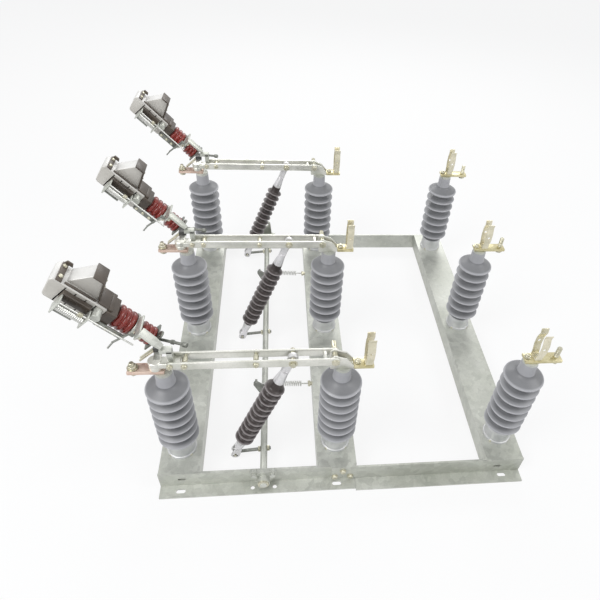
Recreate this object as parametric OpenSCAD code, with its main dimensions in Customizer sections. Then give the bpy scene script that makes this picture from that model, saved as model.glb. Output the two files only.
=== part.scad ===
// Three-phase outdoor load break switch with a fuse base, on a steel frame.
// X runs along the blades, Y across the phases, Z up. The rails stand on Z = 0.

/* [Frame] */
// Length of the rails along X
rail_length = 940; // [860:1:1040]
// Distance between the outer faces of the two rails' upright legs
frame_depth = 990; // [940:1:1080]
// Height of the rails' upright legs, and of the beams' top faces
rail_height = 60; // [55:1:70]
// Reach of the rails' lower flanges beyond the upright legs
rail_foot = 32; // [28:1:45]
// Thickness of the rails and beams
steel_t = 5; // [4:0.5:6]
// Width of each channel beam
beam_width = 100; // [84:1:112]
// Depth of each channel beam
beam_depth = 50; // [42:1:52]
// Spacing of the fixing slots' centres from the outer faces of the upright legs
slot_out = 16; // [14:0.5:20]
// Length of the fixing slots
slot_length = 24; // [18:1:30]
// Width of the fixing slots
slot_width = 11; // [9:0.5:14]

/* [Phases] */
// Spacing from one phase to the next
phase_gap = 424; // [400:1:440]
// Distance from the left beam to the middle beam
bay_switch = 393; // [370:1:420]
// Distance from the middle beam to the right beam
bay_fuse = 445; // [430:1:500]

/* [Insulators] */
// Height of each post insulator above its beam
ins_height = 300; // [290:1:330]
// Diameter of the sheds
shed_d = 98; // [84:1:104]
// Diameter of the insulator's core between sheds
core_d = 58; // [50:1:64]
// Number of sheds
shed_count = 7; // [6:1:8]
// Diameter of the insulator's head
head_d = 42; // [36:1:50]

/* [Blades] */
// Height of each blade bar
bar_h = 21; // [18:1:25]
// Thickness of each blade bar
bar_t = 5; // [4:0.5:6]
// Clear gap between a blade's two bars
bar_gap = 25; // [22:0.5:30]
// Height of the blade's centre line above the insulator's head
blade_up = 36; // [34:1:44]
// Opening angle of the blades, which the drive's ratio follows
blade_open = 57; // [45:1:60]

/* [Drive] */
// Diameter of the operating shaft
shaft_d = 18; // [16:1:22]
// Height of the shaft's axis above the floor
shaft_z = 33; // [30:0.5:36]
// Distance of the shaft from the middle beam's centre line
shaft_back = 187; // [170:1:200]
// Length of each crank
crank_len = 74; // [60:1:80]
// Diameter of the crank rods
crank_d = 9; // [8:0.5:11]
// Diameter of the sheds on the pull rods
rod_shed_d = 49; // [40:1:56]
// Number of sheds on each pull rod
rod_sheds = 11; // [8:1:13]
// Outside diameter of the opening springs
spring_d = 17; // [14:1:20]

/* [Arc chutes] */
// Angle between an arc chute's axis and the horizontal
chute_tilt = 48; // [40:1:55]
// Length of the arc chute's body
chute_len = 122; // [110:1:140]
// Width of the arc chute's body across the blade
chute_w = 52; // [44:1:60]

/* [Fuse base] */
// Height of the fuse clips above the insulator's head
clip_h = 99; // [90:1:115]
// Widest inside width of the fuse clips
clip_gap = 30; // [26:1:40]
// Width of the fuse clips along X
clip_w = 18; // [14:1:24]

/* [Output] */
// Sub-part to draw, or all of them

/* [Hidden] */
$fn = 32;
eps = 0.01;
x_left = -(bay_switch + bay_fuse) / 2;
x_mid = x_left + bay_switch;
x_right = x_mid + bay_fuse;
xs = [x_left, x_mid, x_right];
y_first = 6.5 - phase_gap;
rows = [y_first, y_first + phase_gap, y_first + 2 * phase_gap];
y_out = frame_depth / 2;
y_beam = y_out - steel_t;
beam_z = rail_height;
head_z = beam_z + ins_height;
blade_z = head_z + blade_up;
hinge_x = x_mid - 19.6;
pivot_x = hinge_x - 93;
blade_end = x_left + 14;
shaft_x = x_mid - shaft_back;
pin_x = shaft_x - crank_len;
pin_z = shaft_z - 9;
rod_dx = pivot_x - pin_x;
rod_dz = blade_z - pin_z;
rod_len = sqrt(rod_dx * rod_dx + rod_dz * rod_dz);
rod_lean = atan2(rod_dx, rod_dz);
splice_a = x_mid - 15;
splice_b = x_mid + 48;
tongue_t = bar_gap - 0.6;
bar_y = bar_gap / 2 + bar_t / 2;
spring_ys = [y_first + 190, y_first + phase_gap + 260];
lever_len = 40;
lever_back = 36;
lever_x = shaft_x - lever_len * sin(lever_back);
lever_z = shaft_z + lever_len * cos(lever_back);
lever_pin = 7;
anchor_x = x_mid - beam_width / 2 - 9;
anchor_z = beam_z - 1;
spring_lean = atan2(lever_z - anchor_z, anchor_x - lever_x);
spring_span = sqrt((anchor_x - lever_x) * (anchor_x - lever_x) + (anchor_z - lever_z) * (anchor_z - lever_z));
chute_x = x_left - 137.6;
chute_z = head_z + 190;
chute_y = 22;
chute_c = -18;
chute_a = -8;
chute_b = chute_a + chute_w;
ce = chute_len - 62;
rod_eye = 14;
plate_t = 8;
bar_z = head_z + plate_t;
bar_top = bar_z + 8;
bar_w = 28;
post_x = x_left - 13;
lug_x = x_left + 22;

module at_rows() {
    for (y = rows)
        translate([0, y, 0])
            children();
}

module y_rod(d, l) {
    rotate([90, 0, 0])
        cylinder(d = d, h = l, center = true);
}

module x_rod(d, l) {
    rotate([0, 90, 0])
        cylinder(d = d, h = l, center = true);
}

module slot_y(l, w, h) {
    rotate([90, 0, 0])
        slot_z(l, w, h);
}

module hex_y(af, l) {
    rotate([90, 0, 0])
        cylinder(d = af / cos(30), h = l, center = true, $fn = 6);
}

module hex_z(af, l) {
    cylinder(d = af / cos(30), h = l, $fn = 6);
}

module switch_rail(side) {
    difference() {
        translate([0, -y_out, 0])
            angle_section(-rail_length / 2, splice_b, -rail_length / 2, splice_b);
        for (x = [x_left, x_mid])
            translate([x, -y_out - slot_out, 0])
                slot_z(slot_length, slot_width, 30);
        for (x = [-28, 28])
            translate([shaft_x + x, -y_out - slot_out, 0])
                cylinder(d = 11, h = 30, center = true);
        translate([x_left + 4, -y_out, 33])
            slot_y(20, 9, 30);
        translate([shaft_x, -y_out, shaft_z])
            y_rod(shaft_d + 6, 30);
    }
}

module front_rail_switch() {
    color("lightsteelblue")
        switch_rail();
}

module front_rail_fuse() {
    color("lightsteelblue")
        fuse_rail();
}

module rear_rail_switch() {
    color("lightsteelblue")
        mirror([0, 1, 0])
            switch_rail();
}

module rear_rail_fuse() {
    color("lightsteelblue")
        mirror([0, 1, 0])
            fuse_rail();
}

// Bolts through the overlap of the two rail sections, heads outside.
module splice_bolts() {
    color("silver")
        for (s = [-1, 1])
            for (p = [[splice_a + 10, 20], [splice_a + 30, 44], [splice_a + 50, 20]])
                translate([p[0], s * (y_out + steel_t), p[1]]) {
                    translate([0, s * 3.5, 0])
                        hex_y(13, 7);
                    translate([0, s * 0.6, 0])
                        y_rod(18, 1.2);
                }
}

module beam(x, reach) {
    difference() {
        translate([x - beam_width / 2, -reach, beam_z - beam_depth])
            cube([beam_width, 2 * reach, beam_depth]);
        translate([x - beam_width / 2 + steel_t, -reach - 1, beam_z - beam_depth - 1])
            cube([beam_width - 2 * steel_t, 2 * reach + 2, beam_depth - steel_t + 1]);
    }
}

module beam_left() {
    color("silver")
        beam(x_left, y_beam);
}

module beam_middle() {
    color("silver")
        beam(x_mid, y_beam);
}

module beam_right() {
    color("silver")
        beam(x_right, y_out);
}

// Conical metal foot with its fixing bolts.
module insulator_foot() {
    cylinder(d1 = 74, d2 = 66, h = 42);
    for (a = [45:90:315])
        rotate([0, 0, a])
            translate([30, 0, 0])
                cylinder(d = 16, h = 6);
}

module insulator_feet_left() {
    color("dimgray")
        at_rows()
            translate([x_left, 0, beam_z])
                insulator_foot();
}

module insulator_feet_middle() {
    color("dimgray")
        at_rows()
            translate([x_mid, 0, beam_z])
                insulator_foot();
}

module insulator_feet_right() {
    color("dimgray")
        at_rows()
            translate([x_right, 0, beam_z])
                insulator_foot();
}

module insulators_left() {
    color("slategray")
        at_rows()
            translate([x_left, 0, beam_z])
                insulator();
}

module insulators_middle() {
    color("slategray")
        at_rows()
            translate([x_mid, 0, beam_z])
                insulator();
}

module insulators_right() {
    color("slategray")
        at_rows()
            translate([x_right, 0, beam_z])
                insulator();
}

// Places children in the arc chute's own frame: +X down its axis, +Z to its upper side.
module chute_frame() {
    at_rows()
        translate([chute_x, 45, chute_z])
            rotate([0, chute_tilt, 0])
                children();
}

module spring_anchors() {
    color("silver")
        for (y = spring_ys)
            translate([anchor_x, y, anchor_z]) {
                translate([0, -4, -4])
                    cube([9, 8, 8]);
                y_rod(8, 16);
            }
}

module cranks() {
    color("dimgray")
        at_rows()
            crank();
}

module blade_1() {
    color("whitesmoke")
        translate([0, rows[0], 0])
            blade();
}

module blade_2() {
    color("whitesmoke")
        translate([0, rows[1], 0])
            blade();
}

module blade_3() {
    color("whitesmoke")
        translate([0, rows[2], 0])
            blade();
}

// Places children in a pull rod's own frame: origin at the crank pin, +Z along the rod.
module rod_frame(y) {
    translate([pin_x, y, pin_z])
        rotate([0, rod_lean, 0])
            children();
}

module pull_rod_1() {
    color("sienna")
        rod_frame(rows[0])
            rod_body();
}

module pull_rod_2() {
    color("sienna")
        rod_frame(rows[1])
            rod_body();
}

module pull_rod_3() {
    color("sienna")
        rod_frame(rows[2])
            rod_body();
}

module rod_ends_1() {
    color("thistle")
        rod_frame(rows[0])
            rod_ends();
}

module rod_ends_2() {
    color("thistle")
        rod_frame(rows[1])
            rod_ends();
}

module rod_ends_3() {
    color("thistle")
        rod_frame(rows[2])
            rod_ends();
}

// Opening spring between its lever's pin and its anchor, coils as one cylinder.
module opening_spring(y) {
    translate([lever_x, y, lever_z])
        rotate([0, 90 + spring_lean, 0]) {
            translate([0, 0, 30])
                cylinder(d = spring_d, h = spring_span - 50);
            translate([0, 0, 15])
                cylinder(d = 4, h = spring_span - 19.3);
        }
}

module spring_front() {
    color("lightgray")
        opening_spring(spring_ys[0]);
}

module spring_rear() {
    color("lightgray")
        opening_spring(spring_ys[1]);
}

module slot_z(l, w, h) {
    for (s = [-1, 1])
        translate([s * (l - w) / 2, 0, 0])
            cylinder(d = w, h = h, center = true);
    cube([l - w, w, h], center = true);
}

// Flat link with round ends in the XZ plane, centred on y = 0.
module link_plate(p, q, dp, dq, t) {
    v = q - p;
    n = [-v[1], v[0]] / norm(v);
    rotate([90, 0, 0])
        translate([0, 0, -t / 2])
            linear_extrude(height = t)
                polygon([p + n * dp / 2, p - n * dp / 2, q - n * dq / 2, q + n * dq / 2]);
    translate([p[0], 0, p[1]])
        y_rod(dp, t);
    translate([q[0], 0, q[1]])
        y_rod(dq, t);
}

// One angle section along X with its foot pointing to -Y, upright leg at y = 0 .. t.
module angle_section(a, b, foot_a, foot_b) {
    translate([a, 0, foot_a > a ? steel_t : 0])
        cube([b - a, steel_t, rail_height - (foot_a > a ? steel_t : 0)]);
    translate([foot_a, -rail_foot, 0])
        cube([foot_b - foot_a, rail_foot + steel_t, steel_t]);
}

module fuse_rail() {
    difference() {
        translate([0, -y_out - steel_t, 0])
            angle_section(splice_a, rail_length / 2, splice_b + 0.5, rail_length / 2);
        translate([x_right, -y_out - slot_out, 0])
            slot_z(slot_length, slot_width, 30);
        translate([x_right - 15, -y_out, 30])
            slot_y(20, 9, 30);
    }
}

// Post insulator body from the foot to the head: even sheds under a domed top shed.
module insulator() {
    shed_a = 66;
    top = ins_height - 52;
    pitch = (top - shed_a) / (shed_count - 1);
    rotate_extrude()
        polygon(concat(
            [[0, 42], [core_d / 2 + 1, 42]],
            [for (i = [0:shed_count - 2]) each [
                [core_d / 2, shed_a + i * pitch - 4],
                [shed_d / 2 - 1, shed_a + i * pitch - 4],
                [shed_d / 2, shed_a + i * pitch - 3],
                [shed_d / 2, shed_a + i * pitch],
                [shed_d / 2 - 2, shed_a + i * pitch + 2],
                [core_d / 2, shed_a + i * pitch + 9]]],
            [[core_d / 2, top - 4], [shed_d / 2 - 1, top - 4], [shed_d / 2, top - 2],
                [shed_d / 2 - 1, top + 2], [shed_d / 2 - 5, top + 5],
                [head_d / 2 + 7, top + 13], [head_d / 2 + 1, top + 19],
                [head_d / 2 - 1, top + 30], [head_d / 2 - 2, ins_height],
                [0, ins_height]]));
}

// Metal insert on top of each insulator, under its bar.
module head_plates() {
    color("silver")
        at_rows()
            for (x = xs)
                translate([x, 0, head_z])
                    cylinder(d = head_d - 4, h = plate_t);
}

// Flat terminal bar with a clamp bolt and washer at its outer end.
module line_terminals() {
    color("peru")
        at_rows() {
            translate([x_left - 73, -bar_w / 2, bar_z])
                cube([78, bar_w, 8]);
            translate([x_left - 62, 0, bar_top])
                cylinder(d = 24, h = 2);
            translate([x_left - 62, 0, bar_top + 2])
                hex_z(17, 8);
            translate([x_left - 62, 0, bar_top + 10])
                cylinder(d = 10, h = 8);
            translate([x_left - 62, 0, bar_z - 10])
                hex_z(17, 10);
        }
}

// Contact post and the tongue that the closed blade straddles.
module fixed_contacts() {
    color("gainsboro")
        at_rows() {
            translate([post_x, 0, bar_top])
                cylinder(d = 30, h = 24);
            translate([post_x, -tongue_t / 2, blade_z - 12])
                cube([54, tongue_t, 14]);
            translate([post_x - 4, 0, bar_top + 16])
                cube([16, 23, 8]);
        }
}

// Places children in the arc chute's own frame: +X down its axis, +Z to its upper side.
module chute_frame() {
    at_rows()
        translate([chute_x, 45, chute_z])
            rotate([0, chute_tilt, 0])
                children();
}

// Extrudes a profile in the chute's XZ plane between two stations across the blade.
module chute_slab(a, b) {
    translate([0, b, 0])
        rotate([90, 0, 0])
            linear_extrude(height = b - a)
                children();
}

module end_plate() {
    translate([ce + 71.5, chute_y, chute_c])
        x_rod(56, 5);
    translate([ce + 69, -39, 6])
        cube([5, 39 + chute_y, 18]);
}

// Strap down from the chute's end plate and the lug that stands between the contacts.
module chute_arms() {
    color("whitesmoke") {
        chute_frame()
            difference() {
                translate([ce + 66.5, -27, 26])
                    rotate([0, -9, -19])
                        translate([0, 0, -3])
                            linear_extrude(height = 6)
                                polygon([[-4, -12], [ce - 22, -12], [ce - 3, -7.5],
                                    [ce - 3, 7.5], [ce - 22, 12], [-4, 12]]);
                end_plate();
            }
        at_rows() {
            translate([lug_x - 20, -7.5, blade_z + 30])
                cube([26, 15, 10]);
            translate([lug_x - 6, -7.5, blade_z + 2])
                cube([12, 15, 34]);
        }
    }
}

module chute_housings() {
    color("darkkhaki")
        chute_frame() {
            chute_slab(chute_a, chute_b)
                polygon([[-46, -44], [-52, -40], [-62, 0], [-60, 6], [-56, 8], [ce, 8],
                    [ce, -40], [ce - 4, -44]]);
            chute_slab(6, chute_b)
                polygon([[-34, 8], [-5, 54], [16, 54], [34, 12], [34, 8]]);
        }
}

// Dark cap on the fin, strap across the nose and rib along the body's top.
module chute_caps() {
    color("saddlebrown")
        chute_frame() {
            difference() {
                chute_slab(0, chute_b)
                    polygon([[-7, 54], [-7, 58], [18, 58], [38, 12], [34, 12], [16, 54]]);
                for (z = [24, 40])
                    translate([33.5 - z * 0.3, 30, z])
                        x_rod(7, 30);
            }
            difference() {
                translate([-54, chute_a, 8])
                    cube([12, chute_w, 4]);
                translate([-48, chute_a + 10, 6])
                    cylinder(d = 4, h = 10);
            }
            translate([-52, chute_b - 4, 12])
                cube([18, 4, 8]);
            translate([-36, chute_a + 3, 8])
                cube([68, 5, 4]);
        }
}

// Brown base block with its saddle, gasket edge and the rail that carries the damper.
module chute_bases() {
    color("sienna")
        chute_frame() {
            translate([ce, chute_a, -43])
                cube([24, chute_w, 49]);
            translate([ce - 24, chute_a + 4, 8])
                cube([24, chute_w - 4, 4]);
            translate([ce, chute_a + 4, 6])
                cube([10, chute_w - 4, 6]);
            translate([ce + 24, chute_y, chute_c])
                rotate([0, 90, 0])
                    cylinder(d = 34, h = 4);
            translate([-28, -20, -20])
                cube([61, 12, 20]);
        }
}

module ribbed_bush(d, l, ribs) {
    w = l / ribs;
    rotate([0, 90, 0])
        rotate_extrude()
            polygon(concat([[0, 0]],
                [for (i = [0:ribs - 1]) each [
                    [d / 2 - 4, i * w], [d / 2, i * w + w * 0.3], [d / 2, i * w + w * 0.7],
                    [d / 2 - 4, (i + 1) * w]]],
                [[0, l]]));
}

module chute_insulators() {
    color("darkred")
        chute_frame()
            translate([ce + 28, chute_y, chute_c])
                ribbed_bush(54, 41, 3);
}

// Steel end plate, side plate with its pin bosses, and the clamp bolts.
module chute_side_plates() {
    color("lightgray")
        chute_frame() {
            end_plate();
            translate([ce, -12, -40])
                cube([ce + 6, 4, 14]);
            translate([47, -19, -6])
                y_rod(20, 22);
            for (x = [66, 86, 106])
                translate([x, -13.5, -33])
                    y_rod(8, 3);
            for (q = [[-32, 15], [42, -18], [22, -38], [2, -18]])
                translate([ce + 74, q[0], q[1]])
                    rotate([0, 90, 0])
                        hex_z(10, 6);
        }
}

// Opening damper: long rod, spring barrel, short rod and two end plates.
module chute_dampers() {
    color("silver")
        chute_frame() {
            translate([(ce + 52) / 2, -38, -8])
                x_rod(4, ce + 108);
            translate([3.5, -38, -19])
                x_rod(16, 63);
            translate([-7, -38, -31])
                x_rod(5, 42);
            for (x = [-28, 32])
                translate([x, -46, -36])
                    cube([3, 26, 34]);
            translate([14, -38, -8])
                rotate([0, 90, 0])
                    hex_z(9, 10);
        }
}

module link_insulators() {
    color("firebrick")
        chute_frame()
            translate([ce + 90, chute_y, chute_c])
                ribbed_bush(45, 34, 3);
}

// Neck between the two red insulators, lower plate with its eye, and the tripping rod.
module link_rods() {
    a = [chute_x + (ce + 131) * cos(chute_tilt) + chute_c * sin(chute_tilt), 67,
        chute_z - (ce + 131) * sin(chute_tilt) + chute_c * cos(chute_tilt)];
    b = [x_left + 47, 36, blade_z + 10];
    v = b - a;
    color("dimgray") {
        chute_frame() {
            translate([ce + 82, chute_y, chute_c])
                x_rod(20, 16);
            translate([ce + 124, chute_y - 24, chute_c - 22])
                cube([4, 48, 44]);
            translate([ce + 126, chute_y - 12, chute_c + 22 + 6])
                rotate([0, 90, 0])
                    difference() {
                        cylinder(d = 20, h = 4, center = true);
                        cylinder(d = 8, h = 10, center = true);
                    }
        }
        at_rows()
            translate(a)
                rotate([0, acos(v[2] / norm(v)), atan2(v[1], v[0])]) {
                    translate([0, 0, -4])
                        cylinder(d = 7, h = norm(v) + 4);
                    translate([0, 0, norm(v) - 6])
                        cylinder(d = 12, h = 12);
                    translate([0, 0, norm(v) * 0.55])
                        cylinder(d = 11, h = 8);
                }
    }
}

// Slanting rod with a hooked end beside the end plate, and the two catch bolts.
module catch_rods() {
    color("gray")
        chute_frame() {
            translate([ce + 60, -28, 8])
                rotate([180 + atan2(18, 72), 0, 0]) {
                    cylinder(d = 5, h = 70);
                    translate([0, 0, 66])
                        rotate([-40, 0, 0])
                            cylinder(d = 4, h = 18);
                }
            translate([ce + 63, -27, 4])
                x_rod(8, 12);
        }
}

// Dark catch block beside each contact post, with two long bolts.
module catch_blocks() {
    color("black")
        at_rows() {
            translate([post_x - 6, 23, blade_z - 4])
                cube([18, 18, 18]);
            for (y = [28, 36])
                translate([post_x - 2, y, blade_z + 6])
                    rotate([0, chute_tilt - 180, 0])
                        cylinder(d = 5, h = 52);
        }
}

// U-shaped hinge bracket: two cheeks between the blade's bars and the base they rise from.
module hinge_blocks() {
    color("gainsboro")
        at_rows()
            difference() {
                union() {
                    translate([hinge_x - 10, -tongue_t / 2, bar_z])
                        cube([52.6, tongue_t, 5]);
                    for (s = [-1, 1])
                        translate([0, s * (tongue_t / 2 - 2), 0]) {
                            rotate([90, 0, 0])
                                translate([0, 0, -2])
                                    linear_extrude(height = 4)
                                        polygon([[hinge_x - 10, bar_z], [hinge_x - 12, blade_z],
                                            [hinge_x + 16, blade_z + 8],
                                            [hinge_x + 24, blade_z + 6],
                                            [hinge_x + 42.6, bar_z + 10],
                                            [hinge_x + 42.6, bar_z]]);
                            translate([hinge_x, 0, blade_z])
                                y_rod(24, 4);
                        }
                    translate([hinge_x + 22, 0, bar_z + 5])
                        hex_z(13, 8);
                }
                translate([hinge_x, 0, blade_z])
                    y_rod(12.4, 60);
            }
}

module fuse_bars() {
    color("goldenrod")
        at_rows() {
            translate([hinge_x + 42.6, -bar_w / 2, bar_z])
                cube([46, bar_w, 8]);
            translate([hinge_x + 52, 0, bar_top])
                hex_z(13, 6);
        }
}

// Spring clip for one fuse end: two bowed leaves that grip across Y, joined at the base.
module fuse_clip(x) {
    t = 2;
    g = clip_gap / 2;
    h = clip_h - 16;
    p = [[10, 0], [10, h * 0.12], [g, h * 0.38], [g, h * 0.62], [9.5, h * 0.84], [12, h]];
    q = [for (i = [5:-1:0]) [p[i][0] + t, p[i][1]]];
    translate([x - clip_w / 2, 0, bar_top]) {
        for (s = [0, 1])
            mirror([0, s, 0])
                rotate([90, 0, 90])
                    difference() {
                        linear_extrude(height = clip_w)
                            polygon(concat(p, q));
                        translate([0, h * 0.5, clip_w / 2])
                            rotate([0, 90, 0])
                                cylinder(d = 7, h = 60);
                    }
        translate([0, -10, 0])
            cube([clip_w, 20, 3]);
        translate([clip_w / 2, 0, 3])
            hex_z(10, 5);
    }
}

module fuse_clips_middle() {
    color("khaki")
        at_rows()
            fuse_clip(x_mid + 57);
}

module fuse_clips_right() {
    color("khaki")
        at_rows()
            fuse_clip(x_right + 9);
}

// Flat bar on the right insulator with a fixing bolt and the terminal stud.
module fuse_terminals() {
    color("goldenrod")
        at_rows() {
            translate([x_right - 20, -bar_w / 2, bar_z])
                cube([90, bar_w, 8]);
            translate([x_right - 12, 0, bar_top])
                hex_z(13, 6);
            translate([x_right + 58, 0, bar_top])
                cylinder(d = 12, h = 30);
            translate([x_right + 58, 0, bar_z - 9])
                hex_z(19, 9);
        }
}

module bearing() {
    difference() {
        union() {
            translate([0, 11, 0])
                y_rod(32, 22);
            translate([0, 18, 0])
                y_rod(46, 8);
            translate([-32.5, 14, 5])
                cube([65, 8, rail_height - shaft_z - 3]);
            for (s = [-1, 1])
                translate([s * 23, 18, rail_height - shaft_z - 4])
                    y_rod(20, 8);
            for (s = [-1, 1])
                translate([s * 23, 11, rail_height - shaft_z - 7])
                    hex_y(13, 7);
        }
        translate([0, 10, 0])
            y_rod(shaft_d + 0.2, 60);
    }
}

module front_bearing() {
    color("darkgray")
        translate([shaft_x, -y_out - 22, shaft_z])
            bearing();
}

module rear_bearing() {
    color("darkgray")
        mirror([0, 1, 0])
            translate([shaft_x, -y_out - 22, shaft_z])
                bearing();
}

module crank_rod(extra) {
    lean = atan2(pin_z - shaft_z, pin_x - shaft_x);
    translate([shaft_x, 0, shaft_z])
        rotate([0, 90 - lean, 0])
            translate([0, 0, -18])
                cylinder(d = crank_d, h = crank_len + 12 + extra);
}

module shaft() {
    color("silver")
        difference() {
            translate([shaft_x, 7, shaft_z])
                y_rod(shaft_d, 2 * y_out + 70);
            at_rows()
                crank_rod(0);
        }
}

// Crank rod through the shaft with its nuts, and the eye and pin at its far end.
module crank() {
    lean = atan2(pin_z - shaft_z, pin_x - shaft_x);
    crank_rod(0);
    translate([shaft_x, 0, shaft_z])
        rotate([0, 90 - lean, 0])
            for (z = [-shaft_d / 2 - 6.2, shaft_d / 2 + 0.2])
                translate([0, 0, z])
                    hex_z(14, 6);
    translate([pin_x, 0, pin_z]) {
        y_rod(15, 10);
        y_rod(6, 26);
    }
}

module spring_levers() {
    color("dimgray")
        for (y = spring_ys)
            translate([0, y, 0]) {
                difference() {
                    link_plate([shaft_x, shaft_z], [lever_x, lever_z], 32, 15, 8);
                    translate([shaft_x, 0, shaft_z])
                        y_rod(shaft_d, 60);
                }
                translate([lever_x, 8, lever_z])
                    y_rod(lever_pin, 12);
            }
}

// Hand lever on the rear end of the shaft, pointing up, with a hole for the drive rod.
module operating_lever() {
    color("silver")
        translate([0, y_out + 34, 0])
            difference() {
                union() {
                    link_plate([shaft_x, shaft_z], [shaft_x, shaft_z + 54], 38, 28, 8);
                    translate([shaft_x, 0, shaft_z])
                        y_rod(28, 14);
                }
                translate([shaft_x, 0, shaft_z])
                    y_rod(shaft_d, 60);
                translate([shaft_x, 0, shaft_z + 54])
                    y_rod(13, 60);
            }
}

module blade() {
    for (s = [-1, 1])
        translate([0, s * bar_y, 0]) {
            translate([hinge_x, 0, blade_z])
                y_rod(bar_h, bar_t);
            translate([blade_end, -bar_t / 2, blade_z - bar_h / 2])
                cube([hinge_x - blade_end, bar_t, bar_h]);
        }
    for (x = [pivot_x])
        translate([x, 0, blade_z])
            y_rod(12, bar_gap + 2 * bar_t + 16);
    translate([hinge_x, 12, blade_z])
        y_rod(12, 66);
    for (s = [-1, 1])
        for (x = [blade_end + 6, blade_end + 36, pivot_x - 80])
            translate([x, s * (bar_y + bar_t / 2 + 2.5), blade_z])
                hex_y(12, 5.1);
    for (x = [blade_end + 36, pivot_x - 80])
        translate([x, 0, blade_z])
            y_rod(8, bar_gap + 1);
    translate([hinge_x - 25, -bar_gap / 2 - 0.5, blade_z - 8])
        cube([6, bar_gap + 1, 16]);
}

module rod_body() {
    top = rod_len - 86;
    pitch = (top - 100) / (rod_sheds - 1);
    rotate_extrude()
        polygon(concat(
            [[0, 58], [14, 58]],
            [for (i = [0:rod_sheds - 1]) each [
                [14, 74 + i * pitch - 4],
                [rod_shed_d / 2, 74 + i * pitch - 1],
                [rod_shed_d / 2, 74 + i * pitch + 1],
                [14, 74 + i * pitch + 5]]],
            [[14, top], [0, top]]));
}

module rod_ends() {
    difference() {
        union() {
            translate([0, 0, 24])
                cylinder(d1 = 20, d2 = 28, h = 34);
            translate([-9, -11, 19])
                cube([18, 22, 6]);
            for (s = [-1, 1])
                translate([0, s * 9, 0]) {
                    y_rod(23, 4);
                    translate([-9, -2, 0])
                        cube([18, 4, 22]);
                }
        }
        y_rod(rod_eye, 40);
    }
    difference() {
        union() {
            translate([0, 0, rod_len - 86])
                cylinder(d1 = 28, d2 = 19, h = 38);
            translate([-9, -6, rod_len - 50])
                cube([18, 12, 50]);
            translate([0, 0, rod_len])
                y_rod(24, 12);
        }
        translate([0, 0, rod_len])
            y_rod(12.2, 20);
    }
}

front_rail_switch();
front_rail_fuse();
rear_rail_switch();
rear_rail_fuse();
splice_bolts();
beam_left();
beam_middle();
beam_right();
insulator_feet_left();
insulator_feet_middle();
insulator_feet_right();
insulators_left();
insulators_middle();
insulators_right();
head_plates();
line_terminals();
fixed_contacts();
chute_arms();
chute_housings();
chute_caps();
chute_bases();
chute_insulators();
chute_side_plates();
chute_dampers();
link_insulators();
link_rods();
catch_rods();
catch_blocks();
hinge_blocks();
fuse_bars();
fuse_clips_middle();
fuse_clips_right();
fuse_terminals();
front_bearing();
rear_bearing();
spring_anchors();
shaft();
cranks();
spring_levers();
operating_lever();
blade_1();
blade_2();
blade_3();
pull_rod_1();
pull_rod_2();
pull_rod_3();
rod_ends_1();
rod_ends_2();
rod_ends_3();
spring_front();
spring_rear();
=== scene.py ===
import math

import bpy
from mathutils import Matrix, Vector


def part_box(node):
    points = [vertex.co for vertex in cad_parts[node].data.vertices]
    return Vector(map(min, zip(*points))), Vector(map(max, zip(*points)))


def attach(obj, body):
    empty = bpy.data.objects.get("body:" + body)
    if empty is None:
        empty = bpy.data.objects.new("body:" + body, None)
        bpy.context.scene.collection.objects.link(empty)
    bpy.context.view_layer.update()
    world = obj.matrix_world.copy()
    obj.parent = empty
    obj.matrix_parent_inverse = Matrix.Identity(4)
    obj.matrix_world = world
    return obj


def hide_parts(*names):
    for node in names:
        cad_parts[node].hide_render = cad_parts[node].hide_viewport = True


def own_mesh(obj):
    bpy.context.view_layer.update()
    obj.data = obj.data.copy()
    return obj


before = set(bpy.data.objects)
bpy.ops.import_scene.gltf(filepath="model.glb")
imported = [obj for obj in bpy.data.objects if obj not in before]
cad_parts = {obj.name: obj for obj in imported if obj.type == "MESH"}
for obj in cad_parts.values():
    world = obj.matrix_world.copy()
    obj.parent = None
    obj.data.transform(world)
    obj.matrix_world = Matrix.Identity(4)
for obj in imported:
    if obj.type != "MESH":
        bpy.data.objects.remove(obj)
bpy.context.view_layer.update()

# ---------------------------------------------------------------- camera
# The switch is seen from above its front left corner, close enough for the rails to
# converge, with the horizon tipped a little.
camera_place = Vector((-0.1643, -1.1727, 1.2758))
yaw, pitch, roll = 0.156, 0.748, 0.093
look = Vector((math.sin(yaw) * math.cos(pitch), math.cos(yaw) * math.cos(pitch), -math.sin(pitch)))
level_right = Vector((math.cos(yaw), -math.sin(yaw), 0))
level_up = level_right.cross(look)
camera_right = math.cos(roll) * level_right + math.sin(roll) * level_up
camera_up = math.cos(roll) * level_up - math.sin(roll) * level_right
turn = Matrix((camera_right, camera_up, -look)).transposed().to_4x4()
bpy.ops.object.select_all(action="DESELECT")
bpy.ops.object.camera_add()
camera = bpy.context.object
camera.name = "camera"
camera.matrix_world = Matrix.Translation(camera_place) @ turn
camera.data.sensor_width = 36
camera.data.lens = 31.457
camera.data.shift_x = -0.0676
camera.data.shift_y = 0.0005
bpy.context.scene.camera = camera

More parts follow.
